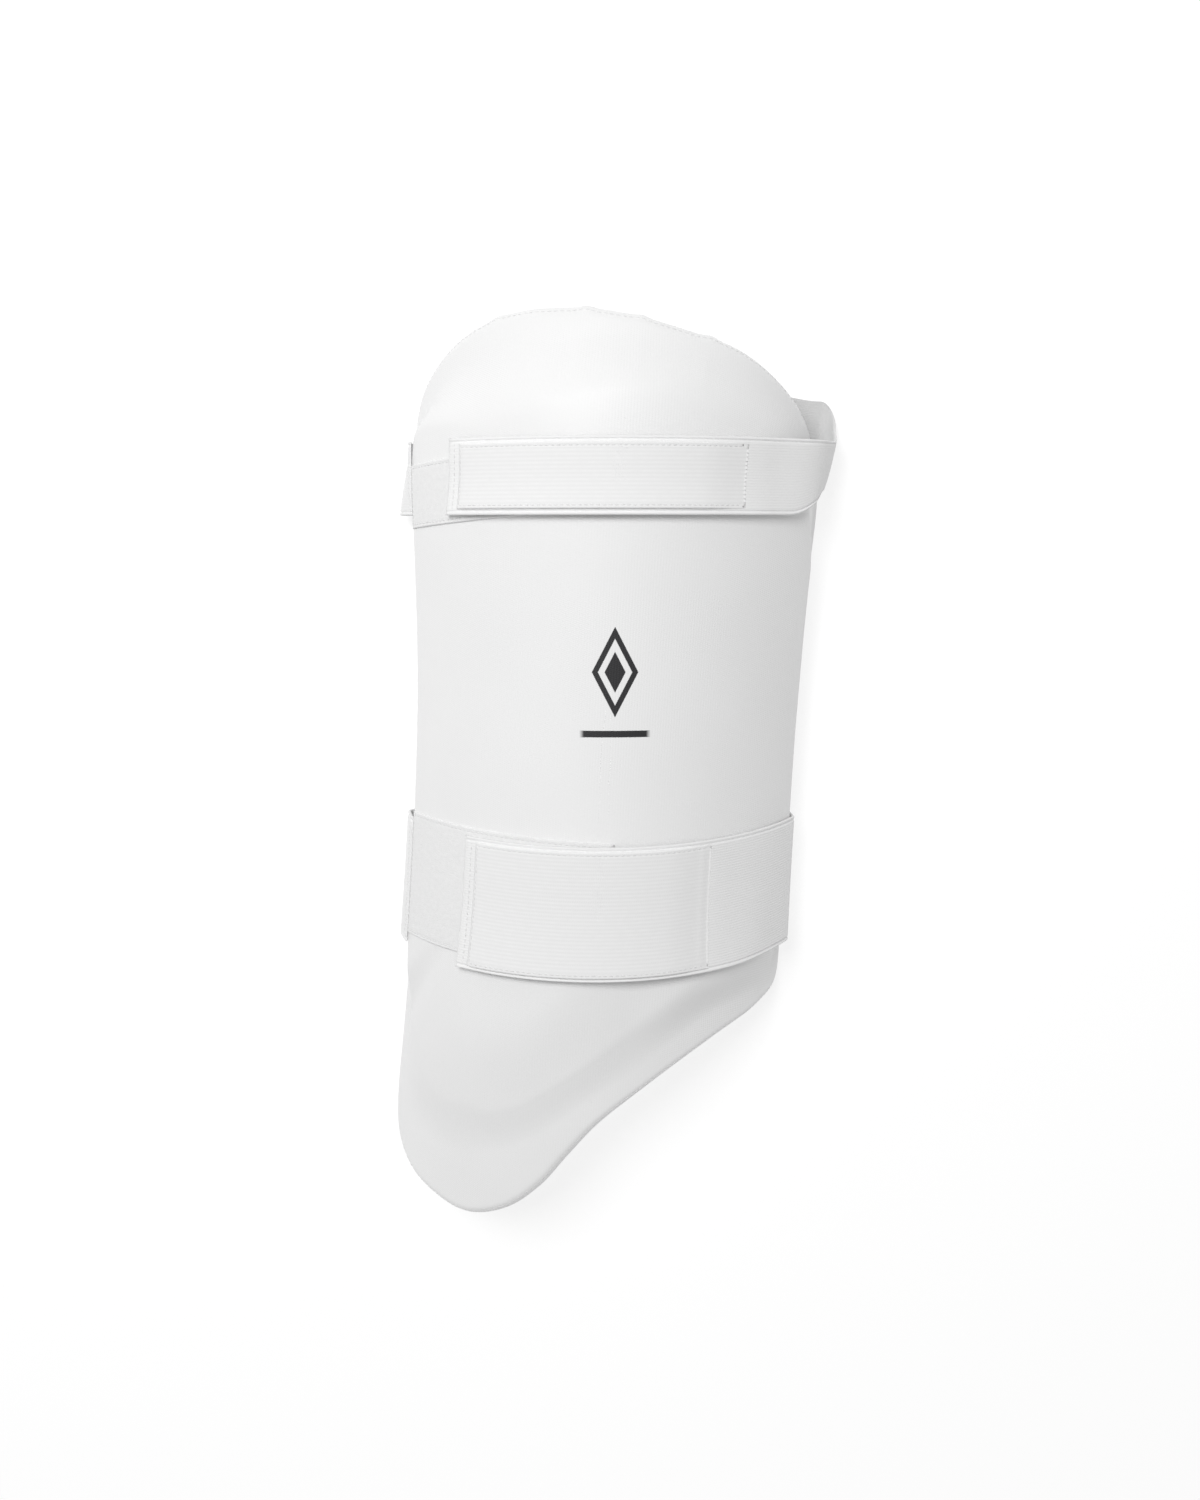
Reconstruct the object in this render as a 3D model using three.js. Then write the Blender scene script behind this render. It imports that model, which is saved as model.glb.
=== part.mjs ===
import * as THREE from "three";

// Cricket thigh guard, in millimetres, +Z up.
// It lies on its back on the ground: hollow side down, hip end towards +Y, knee end towards -Y.
// Two straps go right round it, with their back runs flat on the ground under the pad.

const degree = Math.PI / 180;

// Foam pad: a flat rim all round and a raised plateau, bent to the thigh
const padLength = 425;
const rimThickness = 9;
const plateauRise = 8;
const bendRadius = 96.5; // at mid thickness of the rim, at the waist
const wrapAngle = 66 * degree; // from the crest to each long side
const plateauAngle = 56 * degree; // from the crest to the plateau's long sides
const browRadius = 6; // round shoulder of the plateau under a strap
const hipFlare = 8.4; // growth of the bend's radius at hipReach from the waist, and on to the hip end
const hipReach = 170;
const kneeFlare = 4.5; // growth at kneeReach from the waist
const kneeReach = 140;
const lean = 0.05; // sideways shift of the crest for each millimetre towards the hip
const hipDroop = 12;
const hipDroopLength = 54;
const kneeDroop = 4;
const kneeDroopLength = 116;

// Straps
const bandThickness = 1.5;
const elasticThickness = 1.5;
const tapeThickness = 1.2;
const clearance = 0.3;
const rootGap = 0.6; // round the left brow, between the band's sewn root and the tape
const sideShift = { brow: 0.06, side: 0.2, rim: 0.8 }; // shares of the shift to the hip, at each zone's end
const shiftPeak = 0.12; // share of the back run where the band is furthest to the hip
const pullFrom = 47 * degree; // where the knee edge begins to be drawn to the hip, on the right of the front

// One row for each strap. Turns are angles from the crest.
// place and tapePlace are shares of half padLength, from the pad's middle towards the hip.
// sag is how far the strap's middle hangs towards the knee on the front.
// backShift is how far the band's back run is to the hip of its front run.
// sidePull is how far the band's knee edge is drawn towards the hip round the right side.
// The slack values say how far the band stands off the pad's side, at its knee and hip edges.
const straps = {
  upper: {
    bandWidth: 34,
    elasticWidth: 28.5,
    tapeWidth: 29,
    place: 0.652,
    tapePlace: 0.612,
    tapeSlant: 0.1,
    freeEnd: -40.5 * degree,
    elasticFrom: -37 * degree,
    elasticTo: 28 * degree,
    tapeTo: -8 * degree,
    sag: 0,
    backShift: 23,
    sidePull: 12.5,
    rightSlack: { knee: 0, hip: 2 },
    leftSlack: { knee: 6, hip: 0.5 },
  },
  lower: {
    bandWidth: 62,
    elasticWidth: 58,
    tapeWidth: 60,
    place: -0.25,
    tapePlace: -0.231,
    tapeSlant: -0.05,
    freeEnd: -34.5 * degree,
    elasticFrom: -31 * degree,
    elasticTo: 27 * degree,
    tapeTo: 3 * degree,
    sag: 4.5,
    backShift: 0,
    sidePull: 0,
    rightSlack: { knee: 0, hip: 0 },
    leftSlack: { knee: 3.5, hip: 3 },
  },
};

// The pad's outline, clockwise from the top of the hip end.
// across is a share of wrapAngle, along is a share of half padLength.
// browAcross and browAlong give the plateau's edge in the same shares.
// foot is the share of the way from the rim to the plateau's edge where the rise begins.
const side = plateauAngle / wrapAngle;
const outline = [
  { across: -0.18, along: 1.0, browAcross: -0.17, browAlong: 0.824, foot: 0.42 },
  { across: 0.0, along: 0.985, browAcross: 0.0, browAlong: 0.829, foot: 0.36 },
  { across: 0.22, along: 0.952, browAcross: 0.17, browAlong: 0.818, foot: 0.34 },
  { across: 0.43, along: 0.915, browAcross: 0.35, browAlong: 0.788, foot: 0.36 },
  { across: 0.62, along: 0.855, browAcross: 0.52, browAlong: 0.752, foot: 0.4 },
  { across: 0.77, along: 0.79, browAcross: 0.65, browAlong: 0.71, foot: 0.42 },
  { across: 0.88, along: 0.715, browAcross: 0.76, browAlong: 0.655, foot: 0.45 },
  { across: 0.97, along: 0.62, browAcross: 0.97 * side, browAlong: 0.585, foot: 0.5 },
  { across: 1, along: 0.48, browAcross: side, browAlong: 0.46, foot: 0.5 },
  { across: 1, along: 0.19, browAcross: side, browAlong: 0.19, foot: 0.5 },
  { across: 1, along: -0.19, browAcross: side, browAlong: -0.17, foot: 0.5 },
  { across: 1, along: -0.42, browAcross: side, browAlong: -0.36, foot: 0.5 },
  { across: 0.95, along: -0.51, browAcross: 0.75, browAlong: -0.41, foot: 0.5 },
  { across: 0.79, along: -0.547, browAcross: 0.6, browAlong: -0.436, foot: 0.6 },
  { across: 0.555, along: -0.585, browAcross: 0.4, browAlong: -0.47, foot: 0.64 },
  { across: 0.36, along: -0.636, browAcross: 0.23, browAlong: -0.528, foot: 0.62 },
  { across: 0.195, along: -0.695, browAcross: 0.08, browAlong: -0.59, foot: 0.62 },
  { across: 0.045, along: -0.762, browAcross: -0.06, browAlong: -0.648, foot: 0.65 },
  { across: -0.065, along: -0.834, browAcross: -0.18, browAlong: -0.697, foot: 0.68 },
  { across: -0.17, along: -0.911, browAcross: -0.29, browAlong: -0.735, foot: 0.72 },
  { across: -0.3, along: -0.972, browAcross: -0.4, browAlong: -0.757, foot: 0.76 },
  { across: -0.46, along: -1, browAcross: -0.52, browAlong: -0.767, foot: 0.79 },
  { across: -0.645, along: -0.98, browAcross: -0.65, browAlong: -0.763, foot: 0.79 },
  { across: -0.815, along: -0.94, browAcross: -0.75, browAlong: -0.74, foot: 0.75 },
  { across: -0.935, along: -0.88, browAcross: -0.81, browAlong: -0.7, foot: 0.65 },
  { across: -0.988, along: -0.8, browAcross: -side, browAlong: -0.62, foot: 0.5 },
  { across: -1, along: -0.45, browAcross: -side, browAlong: -0.38, foot: 0.5 },
  { across: -1, along: 0, browAcross: -side, browAlong: 0, foot: 0.5 },
  { across: -1, along: 0.42, browAcross: -side, browAlong: 0.38, foot: 0.5 },
  { across: -1, along: 0.7, browAcross: -side, browAlong: 0.69, foot: 0.5 },
  { across: -0.94, along: 0.825, browAcross: -0.82, browAlong: 0.755, foot: 0.5 },
  { across: -0.8, along: 0.903, browAcross: -0.69, browAlong: 0.79, foot: 0.48 },
  { across: -0.63, along: 0.96, browAcross: -0.52, browAlong: 0.8, foot: 0.45 },
  { across: -0.42, along: 0.995, browAcross: -0.34, browAlong: 0.815, foot: 0.43 },
];

// How finely the faceted solids are cut
const stepsPerRow = 3;
const rimSteps = 6;
const riseSteps = 4;
const fieldSteps = 4;
const frontStep = 4 * degree;
const leastTurn = 3 * degree; // round a brow, where the slack lets a strap leave it early
const widthSteps = 3;
const stops = { brow: 3, side: 2, rim: 9, back: 12 };

const halfLength = padLength / 2;
const rimRadius = rimThickness / 2;
const rimHeight = bandThickness + clearance + rimRadius;
const rimAngle = wrapAngle - rimRadius / bendRadius;
const halfWrap = bendRadius * wrapAngle;
const halfPlateau = bendRadius * plateauAngle;

const mix = THREE.MathUtils.lerp;
const ease = (share) => THREE.MathUtils.smoothstep(share, 0, 1);

// Growth of the bend's radius from the waist, for a place along the pad.
function flare(y) {
  return y > 0 ? hipFlare * ease(y / hipReach) ** 1.5 : kneeFlare * (y / kneeReach) ** 2;
}

// Radius of the bend at mid thickness of the rim.
function bendAt(y) {
  return bendRadius + flare(y);
}

// Height of the bend's axis, which keeps both long rims at one height above the ground.
function axisHeight(y) {
  return rimHeight - bendRadius * Math.cos(rimAngle) - flare(y) * Math.cos(wrapAngle);
}

// How far the crest droops towards both ends of the pad, fading out to the long rims.
function droop(y, turn) {
  const hip = Math.max(0, y - (halfLength - hipDroopLength)) / hipDroopLength;
  const knee = Math.max(0, -y - (halfLength - kneeDroopLength)) / kneeDroopLength;
  const fade = Math.max(0, Math.cos(turn) - Math.cos(rimAngle)) / (1 - Math.cos(rimAngle));
  return fade * (hipDroop * hip ** 2 + kneeDroop * knee ** 2);
}

// Bends a point of the flat pattern round the thigh.
// height is measured outwards from mid thickness of the rim.
function bend(u, y, height) {
  const turn = u / bendRadius;
  const radius = bendAt(y) + height;
  const level = axisHeight(y) + radius * Math.cos(turn) - droop(y, turn);
  return new THREE.Vector3(lean * y + radius * Math.sin(turn), y, level);
}

// A mesh from rings of points: each ring joins the next, and closeEnd closes the first and last.
function ringSolid(rings, closeEnd) {
  const count = rings[0].length;
  const index = [];
  for (let r = 0; r < rings.length - 1; r++) {
    for (let i = 0; i < count; i++) {
      const j = (i + 1) % count;
      const a = r * count;
      const b = a + count;
      index.push(a + i, b + j, a + j, a + i, b + i, b + j);
    }
  }
  const points = rings.flat();
  closeEnd(points, index, 0, count, true);
  closeEnd(points, index, (rings.length - 1) * count, count, false);
  const geometry = new THREE.BufferGeometry().setFromPoints(points);
  geometry.setIndex(index);
  geometry.computeVertexNormals();
  return geometry;
}

// Closes a ring of the pad with a fan to the point in its middle.
function fanTo(poles) {
  return (points, index, first, count, start) => {
    const pole = points.push(start ? poles[0] : poles[1]) - 1;
    for (let i = 0; i < count; i++) {
      const a = first + i;
      const b = first + ((i + 1) % count);
      index.push(...(start ? [pole, a, b] : [pole, b, a]));
    }
  };
}

// Closes a ring of a strap with a flat strip between its outer and inner rows.
function stripAcross(points, index, first, count, start) {
  for (let i = 0; i < count / 2 - 1; i++) {
    const a = first + i;
    const b = a + 1;
    const c = first + count - 2 - i;
    const d = first + count - 1 - i;
    index.push(...(start ? [a, b, c, a, c, d] : [a, c, b, a, d, c]));
  }
}

// The pad: a flat pattern inside the outline, with a round rim and a raised plateau, bent to the thigh.
function padGeometry() {
  const flat = (across, along) => new THREE.Vector3(across * halfWrap, along * halfLength, 0);
  const closed = (rows) => new THREE.CatmullRomCurve3(rows, true, "centripetal");
  const rimLine = closed(outline.map((row) => flat(row.across, row.along)));
  const browLine = closed(outline.map((row) => flat(row.browAcross, row.browAlong)));
  const footLine = closed(outline.map((row, i) => new THREE.Vector3(row.foot, i, 0)));
  const count = outline.length * stepsPerRow;
  const rims = rimLine.getPoints(count).slice(0, count);
  for (const rim of rims) {
    rim.x = THREE.MathUtils.clamp(rim.x, -halfWrap, halfWrap);
    rim.y = THREE.MathUtils.clamp(rim.y, -halfLength, halfLength);
  }
  const stations = rims.map((rim, i) => {
    const before = rims[(i + count - 1) % count];
    const along = rims[(i + 1) % count].clone().sub(before).normalize();
    const brow = browLine.getPoint(i / count);
    brow.x = THREE.MathUtils.clamp(brow.x, -halfPlateau, halfPlateau);
    const foot = footLine.getPoint(i / count).x;
    return { rim, inwards: new THREE.Vector3(along.y, -along.x, 0), brow, foot };
  });
  const crown = new THREE.Vector3();
  const roundRim = (s, inset) => s.rim.clone().addScaledVector(s.inwards, inset);
  const rise = (s, share) => s.rim.clone().lerp(s.brow, mix(s.foot, 1, share));
  const fromBrow = (s, share) => s.brow.clone().lerp(crown, share);
  const ring = (at, height) =>
    stations.map((station) => {
      const p = at(station);
      return bend(p.x, p.y, height);
    });
  const rings = [];
  for (let k = fieldSteps; k >= 0; k--) {
    rings.push(ring((s) => fromBrow(s, k / (fieldSteps + 1)), -rimRadius));
  }
  for (let k = 0; k <= rimSteps; k++) {
    const turn = (k / rimSteps - 0.5) * Math.PI;
    const inset = rimRadius * (1 - Math.cos(turn));
    rings.push(ring((s) => roundRim(s, inset), rimRadius * Math.sin(turn)));
  }
  for (let k = 0; k <= riseSteps; k++) {
    const share = k / riseSteps;
    rings.push(ring((s) => rise(s, share), rimRadius + plateauRise * ease(share)));
  }
  for (let k = 1; k <= fieldSteps; k++) {
    rings.push(ring((s) => fromBrow(s, k / (fieldSteps + 1)), rimRadius + plateauRise));
  }
  return ringSolid(rings, fanTo([bend(0, 0, -rimRadius), bend(0, 0, rimRadius + plateauRise)]));
}

// The two circles that a strap is pulled over on one side of the pad: the plateau's brow and the rim.
// Half of the slack widens the rim's circle, which stays on the ground, and half moves it out.
// Places are measured from the bend's axis.
function flank(y, slack) {
  const radius = bendAt(y);
  const browReach = radius + rimRadius + plateauRise - browRadius;
  const brow = onCircle(new THREE.Vector2(), browReach, plateauAngle);
  const rim = new THREE.Vector2(radius * Math.sin(rimAngle), rimHeight - axisHeight(y)).addScalar(slack / 2);
  const down = rim.clone().sub(brow);
  const roundRadius = rimRadius + slack / 2;
  const tilt = Math.asin((browRadius - roundRadius) / down.length());
  const tangent = Math.atan2(-down.y, down.x) + tilt;
  return { brow, rim, roundRadius, tangent };
}

// The point at a turn from the upright on a circle, for a section across the pad.
function onCircle(centre, radius, turn) {
  return new THREE.Vector2(centre.x + radius * Math.sin(turn), centre.y + radius * Math.cos(turn));
}

// A point of a strap pulled round the pad. stop says where on its way round, lift how far off the pad.
function roundPad(stop, y, lift, slack) {
  const half = flank(y, slack);
  const face = bendAt(y) + rimRadius + plateauRise;
  const ground = half.rim.y - half.roundRadius - lift;
  const onBrow = (turn) => onCircle(half.brow, browRadius + lift, turn);
  const onRim = (turn) => onCircle(half.rim, half.roundRadius + lift, turn);
  const browFrom = plateauAngle + (stop.left ? rootGap / browRadius : 0);
  const browTo = Math.max(half.tangent, browFrom + leastTurn);
  const places = {
    front: () => onCircle(new THREE.Vector2(), face + lift, stop.turn),
    brow: () => onBrow(mix(browFrom, browTo, stop.share)),
    side: () => onBrow(browTo).lerp(onRim(half.tangent), stop.share),
    rim: () => onRim(mix(half.tangent, Math.PI, stop.share)),
    back: () => new THREE.Vector2(mix(half.rim.x, -half.rim.x, stop.share), ground),
  };
  const p = places[stop.zone]();
  const mirror = stop.left ? -1 : 1;
  return new THREE.Vector3(lean * y + mirror * p.x, y, axisHeight(y) + p.y);
}

// Evenly spread stops of one zone, from one share of it to another, without the first.
function stopsIn(zone, steps, from, to, more = {}) {
  return Array.from({ length: steps }, (_, i) => ({
    zone,
    share: mix(from, to, (i + 1) / steps),
    ...more,
  }));
}

// Stops on the plateau, from one turn to another, with both ends.
function frontStops(from, to) {
  const steps = Math.ceil((to - from) / frontStep);
  return Array.from({ length: steps + 1 }, (_, i) => ({ zone: "front", turn: mix(from, to, i / steps) }));
}

// The whole way of a band: from its free end on the front, round under the back, up to its sewn root.
function bandStops(strap) {
  return [
    ...frontStops(strap.freeEnd, plateauAngle),
    ...stopsIn("brow", stops.brow, 0, 1),
    ...stopsIn("side", stops.side, 0, 1),
    ...stopsIn("rim", stops.rim, 0, 1),
    ...stopsIn("back", stops.back, 0, 1),
    ...stopsIn("rim", stops.rim, 1, 0, { left: true }),
    ...stopsIn("side", stops.side, 1, 0, { left: true }),
    ...stopsIn("brow", stops.brow, 1, 0, { left: true }),
  ];
}

// How far a band stands off the pad: over the tape on the front, and down to the pad at the brow.
function bandLift(strap, stop) {
  const overTape = clearance + tapeThickness + clearance;
  const turn = stop.zone === "front" ? stop.turn : plateauAngle;
  const sunk = ease((turn - strap.tapeTo) / (plateauAngle - strap.tapeTo));
  return mix(overTape, clearance, sunk);
}

// The middle line of a strap on the front, which sags towards the knee in the middle.
function frontPlace(strap, turn) {
  const middle = (Math.cos(turn) - Math.cos(plateauAngle)) / (1 - Math.cos(plateauAngle));
  return strap.place * halfLength - strap.sag * middle;
}

// A band's middle line: as the strap's on the front, towards the hip round the right side, and back below.
function bandPlace(strap, stop) {
  if (stop.zone === "front") return frontPlace(strap, stop.turn);
  const shares = {
    brow: () => sideShift.brow * stop.share,
    side: () => mix(sideShift.brow, sideShift.side, stop.share),
    rim: () => mix(sideShift.side, sideShift.rim, stop.share),
    back: () => {
      const rise = mix(sideShift.rim, 1, ease(stop.share / shiftPeak));
      return rise * (1 - ease((stop.share - shiftPeak) / (1 - shiftPeak)));
    },
  };
  return strap.place * halfLength + (stop.left ? 0 : strap.backShift * shares[stop.zone]());
}

// How far a band's knee edge is drawn towards the hip: growing round the right side, fading under the back.
function bandPull(strap, stop) {
  if (stop.left) return 0;
  const shares = {
    front: () => ((stop.turn - pullFrom) / (plateauAngle - pullFrom)) * 0.5,
    brow: () => mix(0.5, 0.7, stop.share),
    side: () => mix(0.7, 1, stop.share),
    rim: () => 1,
    back: () => 1 - stop.share * 2,
  };
  return strap.sidePull * ease(shares[stop.zone]());
}

// A strip with a rectangular section, carried through the stops.
// lift and place give its height off the pad and its middle line at each stop, pull narrows its knee side.
function strip(way, { width, thickness, lift, place, pull = () => 0, slack = () => 0 }) {
  const shares = Array.from({ length: widthSteps + 1 }, (_, i) => i / widthSteps);
  const rings = way.map((stop) => {
    const row = (height) =>
      shares.map((share) => {
        const y = place(stop) + (share - 0.5) * width + (1 - share) * pull(stop);
        return roundPad(stop, y, lift(stop) + height, slack(stop, share));
      });
    return [...row(thickness), ...row(0).reverse()];
  });
  return ringSolid(rings, stripAcross);
}

// The soft band: free end on the front, right round the pad, root at the left side.
function bandGeometry(strap) {
  const slack = (stop, share) => {
    const { knee, hip } = stop.left ? strap.leftSlack : strap.rightSlack;
    return mix(knee, hip, share);
  };
  return strip(bandStops(strap), {
    width: strap.bandWidth,
    thickness: bandThickness,
    lift: (stop) => bandLift(strap, stop),
    place: (stop) => bandPlace(strap, stop),
    pull: (stop) => bandPull(strap, stop),
    slack,
  });
}

// The ribbed elastic sewn on the band's free end.
function elasticGeometry(strap) {
  return strip(frontStops(strap.elasticFrom, strap.elasticTo), {
    width: strap.elasticWidth,
    thickness: elasticThickness,
    lift: (stop) => bandLift(strap, stop) + bandThickness + clearance,
    place: (stop) => frontPlace(strap, stop.turn),
  });
}

// The loop tape sewn on the pad, which the band's free end closes on.
function tapeGeometry(strap) {
  const level = strap.tapePlace * halfLength;
  return strip(frontStops(-plateauAngle, strap.tapeTo), {
    width: strap.tapeWidth,
    thickness: tapeThickness,
    lift: () => clearance,
    place: (stop) => level + strap.tapeSlant * (stop.turn + plateauAngle) * bendRadius,
  });
}

const finishes = {
  knit: { color: 0xf1f1f1, roughness: 0.75, metalness: 0 },
  band: { color: 0xeeeeee, roughness: 0.85, metalness: 0 },
  elastic: { color: 0xececec, roughness: 0.8, metalness: 0 },
  tape: { color: 0xeaeaea, roughness: 0.95, metalness: 0 },
};

function piece(name, geometry, finish) {
  const mesh = new THREE.Mesh(geometry, new THREE.MeshStandardMaterial(finishes[finish]));
  mesh.name = name;
  return mesh;
}

const guard = new THREE.Group();
guard.add(piece("pad", padGeometry(), "knit"));
for (const [name, strap] of Object.entries(straps)) {
  guard.add(piece(`${name}_loop_tape`, tapeGeometry(strap), "tape"));
  guard.add(piece(`${name}_strap_band`, bandGeometry(strap), "band"));
  guard.add(piece(`${name}_strap_elastic`, elasticGeometry(strap), "elastic"));
}

// The origin is on the ground under the middle of the guard.
const box = new THREE.Box3().setFromObject(guard, true);
const middle = box.getCenter(new THREE.Vector3());
guard.position.set(-middle.x, -middle.y, -box.min.z);

export default guard;
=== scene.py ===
import math

import bpy
import numpy as np
from mathutils import Matrix, Vector


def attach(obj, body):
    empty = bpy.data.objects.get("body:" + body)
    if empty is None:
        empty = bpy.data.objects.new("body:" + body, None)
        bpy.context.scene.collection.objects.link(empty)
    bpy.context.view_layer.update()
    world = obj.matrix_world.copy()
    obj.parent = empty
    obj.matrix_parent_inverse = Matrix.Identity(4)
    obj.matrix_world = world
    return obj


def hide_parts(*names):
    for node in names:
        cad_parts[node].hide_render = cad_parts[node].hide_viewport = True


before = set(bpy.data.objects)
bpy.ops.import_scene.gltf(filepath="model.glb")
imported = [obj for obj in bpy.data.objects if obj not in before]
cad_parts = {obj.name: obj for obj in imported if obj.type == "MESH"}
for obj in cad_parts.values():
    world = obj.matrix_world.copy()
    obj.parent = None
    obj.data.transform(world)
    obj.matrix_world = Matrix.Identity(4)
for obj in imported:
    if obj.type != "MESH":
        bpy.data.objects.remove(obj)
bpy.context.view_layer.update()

# Sizes in millimetres, as in the part's source. The pieces are turned into metres as they are made.
FRAME_SHIFT = -2.6807
PAD_LENGTH = 425.0
RIM_RADIUS = 4.5
PLATEAU_RISE = 8.0
BEND_RADIUS = 96.5
WRAP_ANGLE = math.radians(66)
PLATEAU_ANGLE = math.radians(56)
BROW_RADIUS = 6.0
HIP_FLARE = 8.4
HIP_REACH = 170.0
KNEE_FLARE = 4.5
KNEE_REACH = 140.0
LEAN = 0.05
HIP_DROOP = 12.0
HIP_DROOP_LENGTH = 54.0
KNEE_DROOP = 4.0
KNEE_DROOP_LENGTH = 116.0
BAND_THICKNESS = 1.5
ELASTIC_THICKNESS = 1.5
TAPE_THICKNESS = 1.2
CLEARANCE = 0.3
SEAT = 0.06
RIB_PITCH = 1.8

# How a band runs round the pad: the root's gap at the brow, shares of the shift to the hip at each zone's
# end, the share of the back run where the shift peaks, and how the knee edge is drawn to the hip.
ROOT_GAP = 0.05
SIDE_SHIFT = (0.06, 0.24, 0.88)
SHIFT_PEAK = 0.12
PULL_FROM = math.radians(41)
PULL_AT_BROW = 0.85
PULL_AT_FLANK = 0.93
LEAST_TURN = math.radians(3)

# Stitches: their pitch, half of a stitch's length as a share of the pitch, and the radii of thread and knots.
STITCH_PITCH = 2.6
STITCH_HALF = 0.36
STITCH = (0.28, 0.2)
KNOT = (0.45, 0.35)

HALF_LENGTH = PAD_LENGTH / 2
RIM_HEIGHT = BAND_THICKNESS + CLEARANCE + RIM_RADIUS
RIM_ANGLE = WRAP_ANGLE - RIM_RADIUS / BEND_RADIUS
HALF_WRAP = BEND_RADIUS * WRAP_ANGLE
HALF_PLATEAU = BEND_RADIUS * PLATEAU_ANGLE
SIDE = PLATEAU_ANGLE / WRAP_ANGLE

# The pad's outline, clockwise from the top of the hip end.
# across and along place the rim, brow_across and brow_along the plateau's edge, foot the start of its rise.
# The last two columns widen the rise, in millimetres: outwards past its foot and inwards past the brow.
OUTLINE = np.array([
    [-0.18, 1.0, -0.17, 0.824, 0.42, 3, 5],
    [0.0, 0.985, 0.0, 0.829, 0.36, 3, 3],
    [0.22, 0.952, 0.17, 0.818, 0.34, 3, 3],
    [0.43, 0.915, 0.35, 0.788, 0.36, 3, 5],
    [0.62, 0.855, 0.52, 0.752, 0.4, 4, 9],
    [0.77, 0.79, 0.65, 0.71, 0.42, 5, 14],
    [0.88, 0.715, 0.76, 0.655, 0.45, 5, 16],
    [0.97, 0.62, 0.97 * SIDE, 0.585, 0.5, 3, 12],
    [1.0, 0.48, SIDE, 0.46, 0.5, 0, 4],
    [1.0, 0.19, SIDE, 0.19, 0.5, 0, 0],
    [1.0, -0.19, SIDE, -0.17, 0.5, 0, 0],
    [1.0, -0.42, SIDE, -0.36, 0.5, 0, 2],
    [0.95, -0.51, 0.75, -0.41, 0.5, 4, 14],
    [0.79, -0.547, 0.6, -0.436, 0.6, 8, 11],
    [0.555, -0.585, 0.4, -0.47, 0.64, 6, 9],
    [0.36, -0.636, 0.23, -0.528, 0.62, 5, 7],
    [0.195, -0.695, 0.08, -0.59, 0.62, 5, 6],
    [0.045, -0.762, -0.06, -0.648, 0.65, 5, 5],
    [-0.065, -0.834, -0.18, -0.697, 0.68, 5, 5],
    [-0.17, -0.911, -0.29, -0.735, 0.72, 5, 5],
    [-0.3, -0.972, -0.4, -0.757, 0.76, 6, 6],
    [-0.46, -1.0, -0.52, -0.767, 0.79, 9, 10],
    [-0.645, -0.98, -0.65, -0.763, 0.79, 9, 11],
    [-0.815, -0.94, -0.75, -0.74, 0.75, 8, 13],
    [-0.935, -0.88, -0.81, -0.7, 0.65, 6, 16],
    [-0.988, -0.8, -SIDE, -0.62, 0.5, 2, 14],
    [-1.0, -0.45, -SIDE, -0.38, 0.5, 0, 2],
    [-1.0, 0.0, -SIDE, 0.0, 0.5, 0, 0],
    [-1.0, 0.42, -SIDE, 0.38, 0.5, 0, 0],
    [-1.0, 0.7, -SIDE, 0.69, 0.5, 0, 0],
    [-0.94, 0.825, -0.82, 0.755, 0.5, 0, 1.5],
    [-0.8, 0.903, -0.69, 0.79, 0.48, 2, 7],
    [-0.63, 0.96, -0.52, 0.8, 0.45, 4, 12],
    [-0.42, 0.995, -0.34, 0.815, 0.43, 4, 9],
])

# Places and widths of each strap, in millimetres, and its turns from the crest in degrees.
# right_slack and left_slack say how far the band stands off the pad's sides, at its knee and hip edges.
# puff and round lift the band before and round the right brow, lip lifts its knee edge off the pad, and seam
# is the ridge where the elastic ends.
STRAPS = {
    "upper": {
        "band_width": 34.0, "elastic_width": 28.5, "tape_width": 29.0,
        "place": 138.55, "tape_place": 130.05, "tape_slant": 0.1,
        "free_end": -40.5, "elastic_from": -37.0, "elastic_to": 28.0, "tape_to": -8.0,
        "sag": 0.0, "back_shift": 23.0, "side_pull": 12.0, "right_slack": (0.0, 2.0),
        "left_slack": (6.0, 0.2), "puff": 3.0, "round": (-2.2, 1.2), "lip": 2.5, "seam": 0.0,
    },
    "lower": {
        "band_width": 62.0, "elastic_width": 58.0, "tape_width": 60.0,
        "place": -53.125, "tape_place": -49.0875, "tape_slant": -0.065,
        "free_end": -34.5, "elastic_from": -31.0, "elastic_to": 27.0, "tape_to": 3.0,
        "sag": 4.5, "back_shift": 0.0, "side_pull": 0.0, "right_slack": (0.0, 0.0),
        "left_slack": (3.5, 3.0), "puff": 0.3, "round": (0.0, 0.4), "lip": 2.5, "seam": 0.3,
    },
}


def ease(share):
    """Smooth step from 0 to 1."""
    share = np.clip(share, 0.0, 1.0)
    return share * share * (3 - 2 * share)


def mix(a, b, share):
    """Straight blend from a to b."""
    return a + (b - a) * share


def bell(away, width):
    """Bell curve of a distance."""
    return np.exp(-((away / width) ** 2))


def closed_curve(rows, count):
    """Centripetal Catmull-Rom curve through the rows and back to the first, sampled evenly in row number."""
    place = np.arange(count) * len(rows) / count
    first = np.floor(place).astype(int)
    w = (place - first)[:, None]
    p0, p1, p2, p3 = (rows[(first + k) % len(rows)] for k in (-1, 0, 1, 2))
    steps = ((p0, p1), (p1, p2), (p2, p3))
    dt0, dt1, dt2 = (np.sqrt(np.linalg.norm(b - a, axis=1))[:, None] for a, b in steps)
    t1 = ((p1 - p0) / dt0 - (p2 - p0) / (dt0 + dt1) + (p2 - p1) / dt1) * dt1
    t2 = ((p2 - p1) / dt1 - (p3 - p1) / (dt1 + dt2) + (p3 - p2) / dt2) * dt1
    return p1 + t1 * w + (3 * (p2 - p1) - 2 * t1 - t2) * w**2 + (2 * (p1 - p2) + t1 + t2) * w**3


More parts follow.
